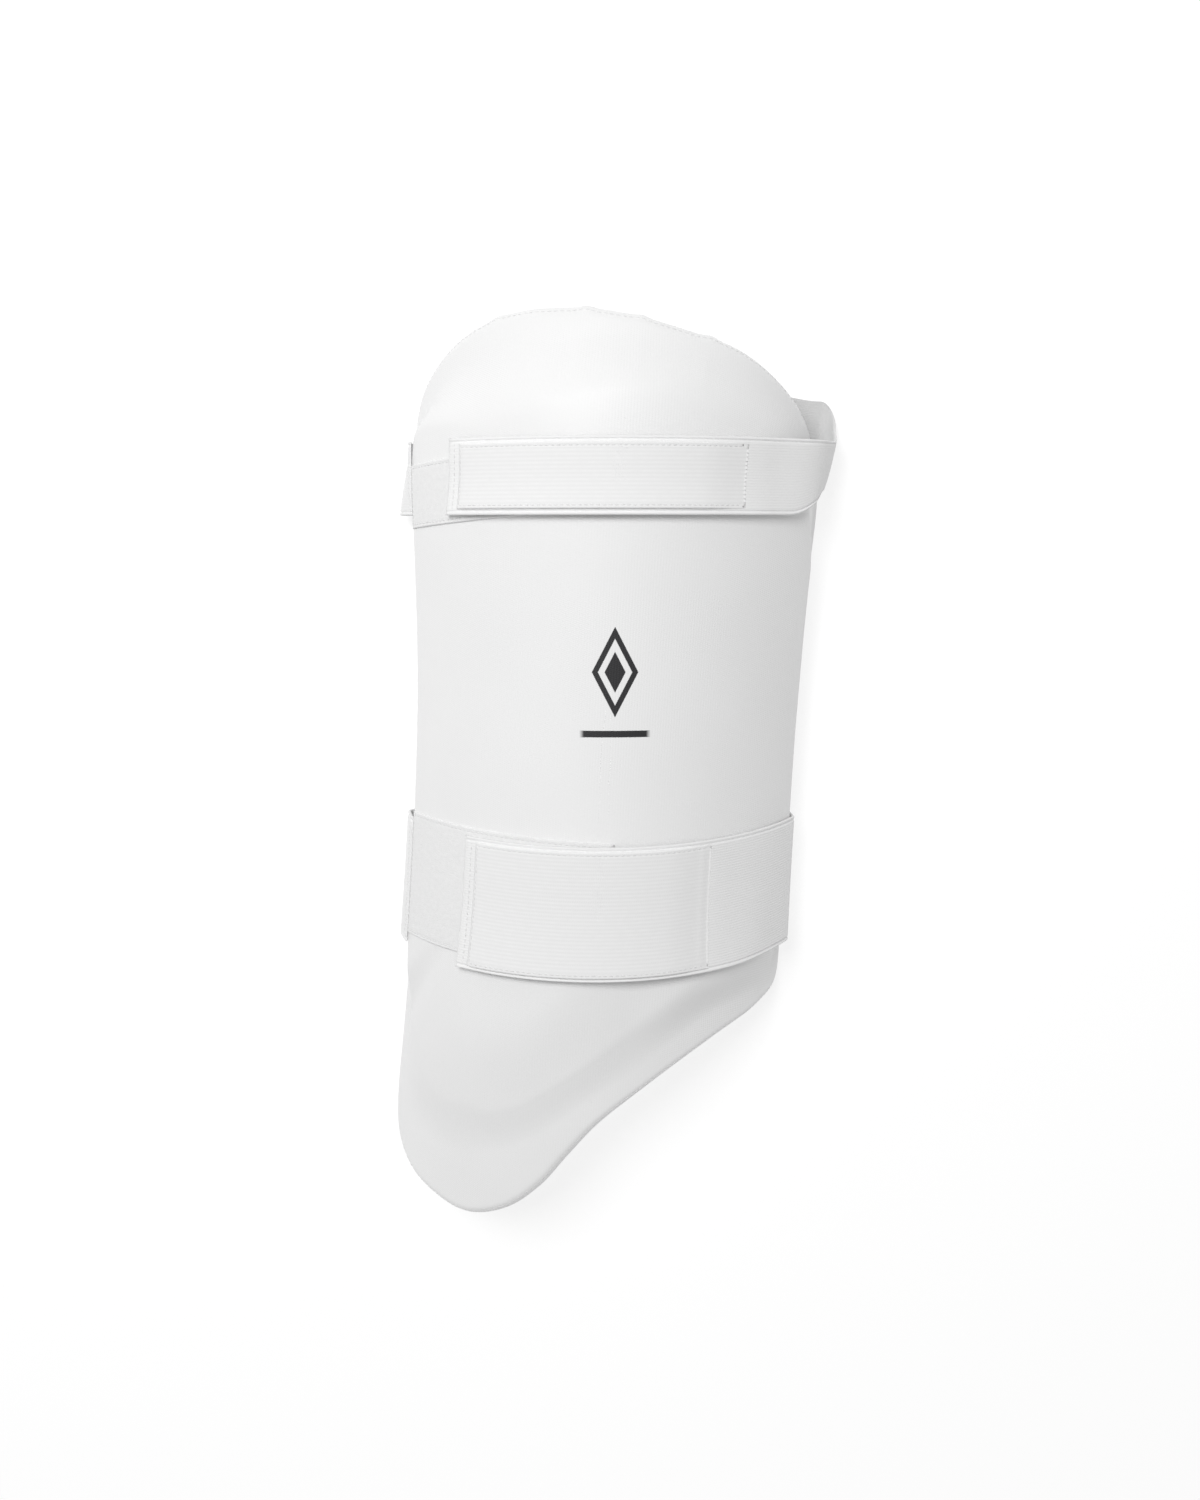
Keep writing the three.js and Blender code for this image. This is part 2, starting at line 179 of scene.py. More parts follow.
def flare(y):
    """Growth of the bend's radius: a smooth step towards the hip, a square towards the knee."""
    return np.where(y > 0, HIP_FLARE * ease(y / HIP_REACH) ** 1.5, KNEE_FLARE * (y / KNEE_REACH) ** 2)


def bend_at(y):
    """Radius of the bend at mid thickness of the rim."""
    return BEND_RADIUS + flare(y)


def axis_height(y):
    """Height of the bend's axis, which keeps both long rims level."""
    return RIM_HEIGHT - BEND_RADIUS * math.cos(RIM_ANGLE) - flare(y) * math.cos(WRAP_ANGLE)


def droop(y, turn):
    """Fall of the crest towards both ends, as the square of the way past each droop's start."""
    hip = np.maximum(0, y - (HALF_LENGTH - HIP_DROOP_LENGTH)) / HIP_DROOP_LENGTH
    knee = np.maximum(0, -y - (HALF_LENGTH - KNEE_DROOP_LENGTH)) / KNEE_DROOP_LENGTH
    fade = np.maximum(0, np.cos(turn) - math.cos(RIM_ANGLE)) / (1 - math.cos(RIM_ANGLE))
    return fade * (HIP_DROOP * hip**2 + KNEE_DROOP * knee**2)


def bend(u, y, height):
    """Bends points of the flat pattern round the thigh, where u is arc length across.

    height is measured off the mid thickness of the rim.
    """
    turn = u / BEND_RADIUS
    radius = bend_at(y) + height
    z = axis_height(y) + radius * np.cos(turn) - droop(y, turn)
    return np.stack([LEAN * y + radius * np.sin(turn), y, z], axis=-1)


def grid_faces(rows, columns, wrap):
    """Quads of a grid of points, with the last column joined to the first where wrap is true."""
    r, c = np.meshgrid(np.arange(rows - 1), np.arange(columns if wrap else columns - 1), indexing="ij")
    d = (c + 1) % columns
    here, above = r * columns, (r + 1) * columns
    return np.stack([here + c, here + d, above + d, above + c], -1).reshape(-1, 4)


def make_piece(name, points, quads, flat, material, replaced=(), triangles=None, shaded_inside=None):
    """A mesh object from points in millimetres, quads and triangles, with flat, in metres, as its UV map.

    The inner-face argument, where given, becomes an attribute that is 1 on a cloth's inner face, where the
    band's material paints shade.
    """
    points = (points.reshape(-1, 3) + [FRAME_SHIFT, 0, 0]) / 1000
    triangles = np.zeros((0, 3), int) if triangles is None else triangles
    corners = np.concatenate([quads.ravel(), triangles.ravel()]).astype(np.int32)
    starts = np.concatenate([np.arange(len(quads)) * 4, len(quads) * 4 + np.arange(len(triangles)) * 3])
    mesh = bpy.data.meshes.new(name)
    mesh.vertices.add(len(points))
    mesh.vertices.foreach_set("co", points.astype(np.float32).ravel())
    mesh.loops.add(len(corners))
    mesh.loops.foreach_set("vertex_index", corners)
    mesh.polygons.add(len(starts))
    mesh.polygons.foreach_set("loop_start", starts.astype(np.int32))
    mesh.update(calc_edges=True)
    mesh.validate()
    layer = mesh.uv_layers.new(name="flat")
    layer.data.foreach_set("uv", flat.reshape(-1, 2)[corners].astype(np.float32).ravel())
    if shaded_inside is not None:
        mesh.attributes.new("shaded_inside", "FLOAT", "POINT").data.foreach_set("value", shaded_inside.astype(np.float32))
    mesh.shade_smooth()
    mesh.materials.append(material)
    piece = bpy.data.objects.new(name, mesh)
    bpy.context.scene.collection.objects.link(piece)
    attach(piece, "root")
    if replaced:
        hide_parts(*replaced)
    return piece


# The pad

STATIONS = 612
UNDER_STEPS = 26
RIM_STEPS = 24
FLANGE_STEPS = 8
RISE_STEPS = 26
FIELD_STEPS = 48
CENTRE_SHARE = 0.995

# The sewn seam's puckers along the hip end, as shares across, each a small bump of the rim.
PUCKERS = (-0.5, -0.15, 0.05, 0.31)
PUCKER_WIDTH = 3.2
PUCKER_HEIGHT = 0.9

# Grooves round the rim: turn from the side, depth and width, first of the binding's edge, then of the seam.
BINDING_GROOVE = (-0.35, 0.35, 0.13)
SEAM_GROOVE = (0.95, 0.12, 0.12)

# How far the plateau settles at the knee end, and how far in from its edge it comes back.
KNEE_SETTLE = 5.4
KNEE_FROM = 0.45
KNEE_BLEND = 0.12
SETTLE_REACH = 75.0


def rim_line():
    """The rim's outline and its inward normals. Each pucker moves the rim out by a bell curve."""
    rows = OUTLINE[:, :2] * [HALF_WRAP, HALF_LENGTH]
    rim = np.clip(closed_curve(rows, STATIONS), [-HALF_WRAP, -HALF_LENGTH], [HALF_WRAP, HALF_LENGTH])
    along = np.roll(rim, -1, axis=0) - np.roll(rim, 1, axis=0)
    along /= np.linalg.norm(along, axis=1)[:, None]
    inwards = np.column_stack([along[:, 1], -along[:, 0]])
    hip_end = rim[:, 1] > 0.8 * HALF_LENGTH
    out = sum(bell(rim[:, 0] - share * HALF_WRAP, PUCKER_WIDTH) for share in PUCKERS) * hip_end
    return rim - inwards * PUCKER_HEIGHT * out[:, None], inwards


def pad_points():
    """Rings of the pad from the middle of its hollow side, round the rim, up the rise and in to the crown.

    Each ring is the outline moved in: along the inward normal round the rim, then in shares of the way to the
    brow line, then in shares from the brow line to the crown. The height of the outer face is a smooth step
    of the distance walked from the rim, less a slower smooth step at the knee end, where the foam thins out.
    """
    rows = OUTLINE * [HALF_WRAP, HALF_LENGTH, HALF_WRAP, HALF_LENGTH, 1, 1, 1]
    rim, inwards = rim_line()
    brow = closed_curve(rows[:, 2:4], STATIONS)
    brow[:, 0] = np.clip(brow[:, 0], -HALF_PLATEAU, HALF_PLATEAU)
    rise = closed_curve(np.column_stack([rows[:, 4], np.arange(len(rows)), rows[:, 5:7]]), STATIONS)
    foot, outwards, past = rise[:, 0], np.maximum(rise[:, 2], 0), np.maximum(rise[:, 3], 0)
    reach = np.linalg.norm(brow - rim, axis=1)
    top = rim + inwards * RIM_RADIUS
    rise_from = foot * reach - outwards
    rise_to = reach + past
    walked = [mix(top, brow, share) for share in np.linspace(0, 1, FLANGE_STEPS + RISE_STEPS)[1:]]
    walked += [brow * (1 - share) for share in np.linspace(0, CENTRE_SHARE ** 2, FIELD_STEPS)[1:] ** 1.3]
    places = [brow * (1 - share) for share in np.linspace(CENTRE_SHARE, 0, UNDER_STEPS)]
    places += [mix(brow, top, share) for share in np.linspace(0, 1, 6)[1:-1]]
    heights = [np.full(STATIONS, -RIM_RADIUS)] * len(places)
    for turn in np.linspace(-0.5, 0.5, RIM_STEPS) * math.pi:
        grooves = (depth * bell(turn - at, width) for at, depth, width in (BINDING_GROOVE, SEAM_GROOVE))
        radius = RIM_RADIUS - sum(grooves)
        places.append(rim + inwards * (RIM_RADIUS - radius * math.cos(turn)))
        heights.append(np.full(STATIONS, radius * math.sin(turn)))
    knee = ease(-(brow[:, 1] / HALF_LENGTH + KNEE_FROM) / KNEE_BLEND)
    distance = np.full(STATIONS, RIM_RADIUS)
    before = top
    for ring in walked:
        distance = distance + np.linalg.norm(ring - before, axis=1)
        before = ring
        places.append(ring)
        settled = KNEE_SETTLE * knee * (1 - ease((distance - rise_from) / SETTLE_REACH))
        step = ease((distance - rise_from) / (rise_to - rise_from))
        heights.append(RIM_RADIUS + (PLATEAU_RISE - settled) * step)
    return np.array(places), np.array(heights)


def build_pad(material):
    """The pad as one closed surface: rings of stations, closed at both middles with a point."""
    places, heights = pad_points()
    rings = len(places)
    poles = np.zeros((2, 2))
    flat = np.concatenate([places.reshape(-1, 2), poles])
    height = np.concatenate([heights.ravel(), [-RIM_RADIUS, RIM_RADIUS + PLATEAU_RISE]])
    points = bend(flat[:, 0], flat[:, 1], height)
    quads = grid_faces(rings, STATIONS, True)[:, ::-1]
    i = np.arange(STATIONS)
    j = (i + 1) % STATIONS
    last = (rings - 1) * STATIONS
    bottom = np.column_stack([np.full(STATIONS, rings * STATIONS), i, j])
    top = np.column_stack([np.full(STATIONS, rings * STATIONS + 1), last + j, last + i])
    return make_piece("pad_cover", points, quads, flat / 1000, material, ["pad"],
                      np.concatenate([bottom, top]))


def build_rim_thread(material):
    """Stitches all round the rim, on its round shoulder, evenly spread along the outline."""
    rim, inwards = rim_line()
    closed = np.concatenate([rim, rim[:1]])
    normals = np.concatenate([inwards, inwards[:1]])
    walked = np.concatenate([[0], np.cumsum(np.linalg.norm(np.diff(closed, axis=0), axis=1))])
    count = round(walked[-1] / STITCH_PITCH)
    turn, radius = SEAM_GROOVE[0], RIM_RADIUS - SEAM_GROOVE[1]

    def shoulder(shares):
        columns = (*closed.T, *normals.T)
        line = [np.interp(shares * walked[-1], walked, column, period=walked[-1]) for column in columns]
        flat = np.column_stack(line[:2]) + np.column_stack(line[2:]) * (RIM_RADIUS - radius * math.cos(turn))
        return flat, bend(flat[:, 0], flat[:, 1], radius * math.sin(turn))

    share = (np.arange(count) + 0.5) / count
    flat, starts = shoulder(share - STITCH_HALF / count)
    ends = shoulder(share + STITCH_HALF / count)[1]
    inner = bend(flat[:, 0] * 0.96, flat[:, 1] * 0.96, 0)
    build_thread("rim_thread", starts, ends, starts - inner, material)


# The straps

FRONT, BROW, FLANK, RIM, BACK = range(5)

# The band's folded hem, and how far each row of stitches lies in from its cloth's end or edge.
HEM_WIDTH = 5.6
HEM_HEIGHT = 0.3
BAND_HEM_ROW = 4.2
BAND_ROOT_ROW = 2.5
BAND_EDGE_ROW = 1.5
ELASTIC_END_ROW = 1.4
ELASTIC_EDGE_ROW = 1.5
TAPE_ROW = 1.6

# Lengths of the round caps at a strip's start and end.
BAND_CAPS = (0.75, 0.05)
ELASTIC_CAPS = (0.6, 0.1)
TAPE_CAPS = (0.05, 0.6)

# Where the band stands off near the right brow, and where the lip fades out round the side.
NEAR_BROW = 18.0
PUFF_RISE = 26.0
ROUND_REACH = 20.0
LIP_END = math.radians(50)
LIP_FADE = 0.3
LIP_REACH = 1.6

# How far the elastic's joined end sinks into the band, and over what length.
ELASTIC_SUNK = 1.5
ELASTIC_TAPER = 22.0


def on_circle(x, z, radius, turn):
    """Point at a turn from the upright on a circle."""
    return x + radius * np.sin(turn), z + radius * np.cos(turn)


def round_pad(way, y, lift, slack_right, slack_left):
    """Points of a strap pulled round the pad: plateau, the brow's round, flank, the rim's round and back.

    way holds zone, share, turn and side for each stop. Each point is on a circle about the bend's axis, the
    brow's centre or the rim's centre, or on the straight tangent between two circles, moved off by lift.
    """
    zone, share, turn, left = (way[:, k][:, None] for k in range(4))
    slack = np.where(left > 0, slack_left, slack_right)
    radius = bend_at(y)
    brow_x, brow_z = on_circle(0, 0, radius + RIM_RADIUS + PLATEAU_RISE - BROW_RADIUS, PLATEAU_ANGLE)
    level = RIM_HEIGHT - axis_height(y)
    rim_x, rim_z = radius * math.sin(RIM_ANGLE) + slack / 2, level + slack / 2
    round_radius = RIM_RADIUS + slack / 2
    down_x, down_z = rim_x - brow_x, rim_z - brow_z
    tangent = np.arctan2(-down_z, down_x) + np.arcsin((BROW_RADIUS - round_radius) / np.hypot(down_x, down_z))
    brow_from = PLATEAU_ANGLE + np.where(left > 0, ROOT_GAP / BROW_RADIUS, 0)
    brow_to = np.maximum(tangent, brow_from + LEAST_TURN)
    front = on_circle(0, 0, radius + RIM_RADIUS + PLATEAU_RISE + lift, turn)
    brow = on_circle(brow_x, brow_z, BROW_RADIUS + lift, mix(brow_from, brow_to, share))
    high = on_circle(brow_x, brow_z, BROW_RADIUS + lift, brow_to)
    low = on_circle(rim_x, rim_z, round_radius + lift, tangent)
    flank = mix(high[0], low[0], share), mix(high[1], low[1], share)
    rim = on_circle(rim_x, rim_z, round_radius + lift, mix(tangent, math.pi, share))
    near = radius * math.sin(RIM_ANGLE) + slack_right / 2
    far = radius * math.sin(RIM_ANGLE) + slack_left / 2
    back = mix(near, -far, share), level - RIM_RADIUS - lift
    zones = [zone == k for k in (FRONT, BROW, FLANK, RIM, BACK)]
    x = np.select(zones, [front[0], brow[0], flank[0], rim[0], back[0]])
    z = np.select(zones, [front[1], brow[1], flank[1], rim[1], back[1]])
    return np.stack([LEAN * y + np.where(left > 0, -x, x), y, axis_height(y) + z], axis=-1)


def stretch(zone, steps, start, stop, left=0.0):
    """Stops of one zone, from one share to another, without the first."""
    share = np.linspace(start, stop, steps + 1)[1:]
    return np.column_stack([np.full(steps, zone), share, np.zeros(steps), np.full(steps, left)])


def front_stops(start, stop, step=1.0):
    """Stops on the plateau, from one turn to another, in degrees, with both ends."""
    turn = np.radians(np.linspace(start, stop, int((stop - start) / step) + 2))
    return np.column_stack([np.full(len(turn), FRONT), np.zeros(len(turn)), turn, np.zeros(len(turn))])


def band_way(strap):
    """Stops of a band, from its free end on the front, round under the back, up to its sewn root."""
    return np.concatenate([
        front_stops(strap["free_end"], math.degrees(PLATEAU_ANGLE)),
        stretch(BROW, 10, 0, 1), stretch(FLANK, 14, 0, 1), stretch(RIM, 30, 0, 1), stretch(BACK, 50, 0, 1),
        stretch(RIM, 30, 1, 0, 1.0), stretch(FLANK, 14, 1, 0, 1.0), stretch(BROW, 8, 1, 0, 1.0),
    ])


def band_lift(strap, way):
    """Height of a band's inner face off the pad: over the tape on the front, down to the pad at the brow."""
    tape_to = math.radians(strap["tape_to"])
    turn = np.where(way[:, 0] == FRONT, way[:, 2], PLATEAU_ANGLE)
    sunk = ease((turn - tape_to) / (PLATEAU_ANGLE - tape_to))
    under = np.where(way[:, 0] >= RIM, 1, np.where((way[:, 3] > 0) & (way[:, 0] == FLANK), way[:, 1], 0))
    return mix(SEAT + TAPE_THICKNESS + SEAT, SEAT, sunk) + (CLEARANCE - SEAT) * under


def front_place(strap, turn):
    """Middle line of a strap on the front, which sags to the knee in the middle with the turn's cosine."""
    middle = (np.cos(turn) - math.cos(PLATEAU_ANGLE)) / (1 - math.cos(PLATEAU_ANGLE))
    return strap["place"] - strap["sag"] * middle


def band_place(strap, way):
    """Middle line of a band: the strap's on the front, to the hip round the right side, back underneath."""
    zone, share, turn, left = way.T
    rise = mix(SIDE_SHIFT[2], 1, ease(share / SHIFT_PEAK))
    shift = np.select([(left > 0) | (zone == FRONT), zone == BROW, zone == FLANK, zone == RIM, zone == BACK],
                      [0 * share, SIDE_SHIFT[0] * share, mix(SIDE_SHIFT[0], SIDE_SHIFT[1], share),
                       mix(SIDE_SHIFT[1], SIDE_SHIFT[2], np.sin(share * math.pi / 2)),
                       rise * (1 - ease((share - SHIFT_PEAK) / (1 - SHIFT_PEAK)))])
    return np.where(zone == FRONT, front_place(strap, turn), strap["place"] + strap["back_shift"] * shift)


def band_pull(strap, way):
    """How far a band's knee edge is drawn to the hip: more round the right side, fading under the back."""
    zone, share, turn, left = (way[:, k][:, None] for k in range(4))
    step = np.select([left > 0, zone == FRONT, zone == BROW, zone == FLANK, zone == RIM, zone == BACK],
                     [0 * share, (turn - PULL_FROM) / (PLATEAU_ANGLE - PULL_FROM) * PULL_AT_BROW,
                      mix(PULL_AT_BROW, PULL_AT_FLANK, share), mix(PULL_AT_FLANK, 1, share), 0 * share + 1,
                      1 - share * 2])
    return strap["side_pull"] * ease(step)


DENSE_EDGE = 3.4


def strip_section(width, thickness, across):
    """Section of a strip: places across it and shares of its thickness, round both edges and back below.

    The edges are half ellipses as deep as half of the thickness. Places lie closer together near them.
    """
    edge = thickness / 2
    inner = width / 2 - DENSE_EDGE
    close = np.linspace(inner, width / 2 - edge, 11)
    flat = np.concatenate([-close[::-1], np.linspace(-inner, inner, across)[1:-1], close])
    turn = np.linspace(0, math.pi, 7)[1:-1]
    right = np.column_stack([width / 2 - edge + edge * np.sin(turn), 0.5 + 0.5 * np.cos(turn)])
    left = np.column_stack([-width / 2 + edge - edge * np.sin(turn), 0.5 - 0.5 * np.cos(turn)])
    upper = np.column_stack([flat, np.ones(len(flat))])
    lower = np.column_stack([flat[::-1], np.zeros(len(flat))])
    return np.concatenate([upper, right, lower, left])


def build_strip(name, way, lift, place, width, thickness, across, relief, loosen, slacks, caps, finish,
                node):
    """A strip of cloth carried along its stops, with round edges, round ends and a relief on its outer face.

    The section is a closed loop, repeated at each stop. Both ends are closed from edge to edge, and shrink to
    the middle of the thickness as half ellipses, as long as caps says. relief gives extra thickness from the
    arc length and the place across. loosen gives how far the strip stands off and moves towards the hip.
    """
    section = strip_section(width, thickness, across)
    middle = round_pad(way, place[:, None], lift[:, None], mix(*slacks[0], 0.5), mix(*slacks[1], 0.5))[:, 0]
    arc = np.concatenate([[0], np.cumsum(np.linalg.norm(np.diff(middle, axis=0), axis=1))])
    from_end = np.minimum(np.minimum(arc / caps[0], (arc[-1] - arc) / caps[1]), 1)
    cap = np.sqrt(1 - (1 - from_end) ** 2)
    w, level = section[:, 0][None, :], section[:, 1][None, :]
    cap_level = 0.5 + (level - 0.5) * np.maximum(cap, 0.02)[:, None]
    height = (thickness + relief(arc[:, None], w, arc[-1])) * cap_level
    across_share = w / width + 0.5
    off, hipwards = loosen(arc[:, None], across_share, way)
    right = mix(*slacks[0], across_share)
    left = mix(*slacks[1], across_share)
    points = round_pad(way, place[:, None] + w + hipwards, lift[:, None] + off + height, right, left)
    flat = np.stack(np.broadcast_arrays(arc[:, None], w), axis=-1) / 1000
    quads = grid_faces(len(way), len(section), True)
    count = len(section)
    ring = (np.arange(count) - 3) % count
    i = np.arange(1, count // 2 - 1)
    cap_quads = ring[np.column_stack([i, i + 1, count - i - 1, count - i])]
    cap_ends = ring[[[0, 1, count - 1], [count // 2 - 1, count // 2, count // 2 + 1]]]
    last = (len(way) - 1) * count
    quads = np.concatenate([quads, cap_quads[:, ::-1], cap_quads + last])
    # 1 on the inner face, which the band's material greys as painted shade.
    shaded_inside = np.tile(1 - section[:, 1], len(way))
    piece = make_piece(name, points, quads, flat, finish, [node],
                       np.concatenate([cap_ends[:, ::-1], cap_ends + last]), shaded_inside)
    top = section[:, 1] == 1
    return {"piece": piece, "arc": arc, "across": section[top, 0], "face": points[:, top], "width": width}


def hem(arc):
    """A folded hem: a raised strip at the free end with a soft edge."""
    return HEM_HEIGHT * ease((HEM_WIDTH - arc) / 0.8 + 0.5)


def lip(strap, share, turn):
    """Lift of a strap's knee edge off the pad, as the square of the way there, fading round the side."""
    side = ease((LIP_END - turn) / LIP_FADE)
    return strap["lip"] * np.maximum(0, 1 - LIP_REACH * share) ** 2 * side


def on_cloth(cloth, arc, w):
    """Points of a cloth's outer face at arc lengths and places across, blended from the four nearest."""
    i = np.clip(np.searchsorted(cloth["arc"], arc) - 1, 0, len(cloth["arc"]) - 2)
    j = np.clip(np.searchsorted(cloth["across"], w) - 1, 0, len(cloth["across"]) - 2)
    a = ((arc - cloth["arc"][i]) / (cloth["arc"][i + 1] - cloth["arc"][i]))[:, None]
    b = ((w - cloth["across"][j]) / (cloth["across"][j + 1] - cloth["across"][j]))[:, None]
    face = cloth["face"]
    return mix(mix(face[i, j], face[i + 1, j], a), mix(face[i, j + 1], face[i + 1, j + 1], a), b)


def thread_rows(cloth, rows):
    """Starts and ends of stitches in rows, each row from one place to another as (arc, across)."""
    starts, ends = [], []
    for (arc_from, w_from), (arc_to, w_to) in rows:
        count = max(2, round(math.hypot(arc_to - arc_from, w_to - w_from) / STITCH_PITCH))
        share = (np.arange(count) + 0.5) / count
        half = STITCH_HALF / count
        starts.append(on_cloth(cloth, mix(arc_from, arc_to, share - half), mix(w_from, w_to, share - half)))
        ends.append(on_cloth(cloth, mix(arc_from, arc_to, share + half), mix(w_from, w_to, share + half)))
    return np.concatenate(starts), np.concatenate(ends)


def build_thread(name, starts, ends, outwards, material, radii=STITCH):
    """Stitches as thin beads: each is an ellipsoid between its two ends, half sunk in the cloth.

    A bead's section is an ellipse whose radii follow half an ellipse along the stitch.
    """
    along = ends - starts
    length = np.linalg.norm(along, axis=1)[:, None]
    along = along / length
    sideways = np.cross(outwards, along)
    sideways /= np.linalg.norm(sideways, axis=1)[:, None]
    up = np.cross(along, sideways)
    rings, sides = 5, 8
    turn = np.linspace(0, math.pi, rings + 2)[1:-1]
    around = np.linspace(0, 2 * math.pi, sides, endpoint=False)
    t, a = np.meshgrid(turn, around, indexing="ij")
    ring = np.stack([-np.cos(t), np.sin(t) * np.cos(a), np.sin(t) * np.sin(a)], -1).reshape(-1, 3)
    unit = np.concatenate([ring, [[-1, 0, 0], [1, 0, 0]]])
    middle = (starts + ends) / 2 + up * 0.04
    points = (middle[:, None] + along[:, None] * (unit[:, :1] * length[:, None] / 2)
              + sideways[:, None] * (unit[:, 1:2] * radii[0]) + up[:, None] * (unit[:, 2:3] * radii[1]))
    quads = grid_faces(rings, sides, True)
    i = np.arange(sides)
    j = (i + 1) % sides
    last, tips = (rings - 1) * sides, rings * sides
    near_fan = np.column_stack([np.full(sides, tips), j, i])
    far_fan = np.column_stack([np.full(sides, tips + 1), last + i, last + j])
    fans = np.concatenate([near_fan, far_fan])
    offset = (np.arange(len(starts)) * len(unit))[:, None, None]
    flat = np.tile(unit[:, :2] / 1000, (len(starts), 1))
    return make_piece(name, points, (quads + offset).reshape(-1, 4), flat, material, (),
                      (fans + offset).reshape(-1, 3))


def sew(name, cloth, rows, material, radii=STITCH):
    """Rows of stitches on a cloth's outer face, with outwards taken from the bend's axis."""
    starts, ends = thread_rows(cloth, rows)
    middle = (starts + ends) / 2
    axis = np.column_stack([LEAN * middle[:, 1], middle[:, 1], axis_height(middle[:, 1])])
    return build_thread(name, starts, ends, middle - axis, material, radii)


def build_strap(name, strap, finishes):
    """The band, its elastic and the pad's tape of one strap."""
    slacks = strap["right_slack"], strap["left_slack"]
    way = band_way(strap)

    def band_relief(arc, w, length):
        edge = strap["band_width"] / 2 - np.abs(w)
        sewn = bell(arc - BAND_HEM_ROW, 0.5) + bell(length - arc - BAND_ROOT_ROW, 0.5)
        root = (BAND_THICKNESS - TAPE_THICKNESS) * ease(1 - (length - arc) / 7)
        return hem(arc) - 0.5 * bell(edge - 1.7, 0.4) - 0.15 * sewn - root

    def band_loosen(arc, share, stops):
        zone, turn, left = (stops[:, k][:, None] for k in (0, 2, 3))
        brow = arc[(stops[:, 0] == BROW) & (stops[:, 3] == 0)].mean()
        away = arc - brow
        near = ease((away + NEAR_BROW) / NEAR_BROW)
        puff = strap["puff"] * ease((away + (NEAR_BROW + PUFF_RISE)) / PUFF_RISE) * (1 - near)
        rounding = mix(*strap["round"], share**0.7) * near * bell(np.maximum(away, 0), ROUND_REACH)
        front = np.where(zone == FRONT, turn, math.pi)
        off = (puff + rounding) * (1 - left) + lip(strap, share, front)
        return off, (1 - share) * band_pull(strap, stops)

    band = build_strip(f"{name}_band_cloth", way, band_lift(strap, way), band_place(strap, way),
                       strap["band_width"], BAND_THICKNESS, 24, band_relief, band_loosen, slacks, BAND_CAPS,
                       finishes["band"], f"{name}_strap_band")

    way = front_stops(strap["elastic_from"], strap["elastic_to"], 0.7)

    def elastic_relief(arc, w, length):
        rib = np.cos(2 * math.pi * w / RIB_PITCH)
        edge = strap["elastic_width"] / 2 - np.abs(w)
        sewn = bell(arc - ELASTIC_END_ROW, 0.6) + bell(edge - ELASTIC_EDGE_ROW, 0.5)
        sunk = ELASTIC_SUNK * ease(1 - (length - arc) / ELASTIC_TAPER) + 0.6 * ease(1 - arc / 4)
        seam = strap["seam"] * bell(length - arc - 4, 1.5)
        return 0.01 * rib - 0.01 - 0.12 * sewn - sunk + seam

    def elastic_loosen(arc, share, stops):
        inner = (share - 0.5) * strap["elastic_width"] / strap["band_width"] + 0.5
        return lip(strap, inner, stops[:, 2][:, None]), 0 * arc

    level = front_place(strap, way[:, 2])
    elastic = build_strip(f"{name}_elastic_cloth", way, band_lift(strap, way) + BAND_THICKNESS + SEAT, level,
                          strap["elastic_width"], ELASTIC_THICKNESS, round(strap["elastic_width"] * 4),
                          elastic_relief, elastic_loosen, slacks, ELASTIC_CAPS, finishes["elastic"],
                          f"{name}_strap_elastic")

    way = front_stops(-math.degrees(PLATEAU_ANGLE), strap["tape_to"])
    place = strap["tape_place"] + strap["tape_slant"] * (way[:, 2] + PLATEAU_ANGLE) * BEND_RADIUS

    def tape_relief(arc, w, length):
        edge = np.minimum(strap["tape_width"] / 2 - np.abs(w), np.minimum(arc, length - arc))
        return -0.15 * bell(edge - TAPE_ROW, 0.7)

    def tape_loosen(arc, share, stops):
        return 0 * arc + 0 * share, 0 * arc

    tape = build_strip(f"{name}_tape_cloth", way, np.full(len(way), SEAT), place, strap["tape_width"],
                       TAPE_THICKNESS, 60, tape_relief, tape_loosen, slacks, TAPE_CAPS, finishes["tape"],
                       f"{name}_loop_tape")

    def rows_round(cloth, end_row, half, short):
        """Rows across a cloth's free end and along both of its edges, to short of its other end."""
        long = cloth["arc"][-1] - short
        sides = [((end_row, side), (long, side)) for side in (half, -half)]
        return [((end_row, -half), (end_row, half)), *sides]

    half, long = strap["band_width"] / 2 - BAND_EDGE_ROW, band["arc"][-1] - BAND_ROOT_ROW
    band_rows = [((BAND_HEM_ROW, -half), (BAND_HEM_ROW, half)), ((long, -half), (long, half))]
    band_thread = sew(f"{name}_band_thread", band, band_rows, finishes["thread"])
    elastic_rows = rows_round(elastic, ELASTIC_END_ROW, strap["elastic_width"] / 2 - ELASTIC_EDGE_ROW, 3)
    elastic_thread = sew(f"{name}_elastic_thread", elastic, elastic_rows, finishes["thread"])
    elastic_threads = [elastic_thread]
    tape_rows = rows_round(tape, TAPE_ROW, strap["tape_width"] / 2 - TAPE_ROW, 2)
    tape_thread = sew(f"{name}_tape_thread", tape, tape_rows, finishes["thread"])
    if not strap["seam"]:
        half, long = strap["elastic_width"] / 2 - 0.9, elastic["arc"][-1] - 1.5
        ends = [((long - 2, half), (long - 1.6, half)), ((long, -half), (long + 0.4, -half))]
        knots = sew(f"{name}_thread_ends", elastic, ends, finishes["knot"], KNOT)
        elastic_threads.append(knots)
    for cloth, threads in ((band, [band_thread]), (elastic, elastic_threads), (tape, [tape_thread])):
        cloth["width"] / 1000
        cloth["arc"][-1] / 1000


# Materials


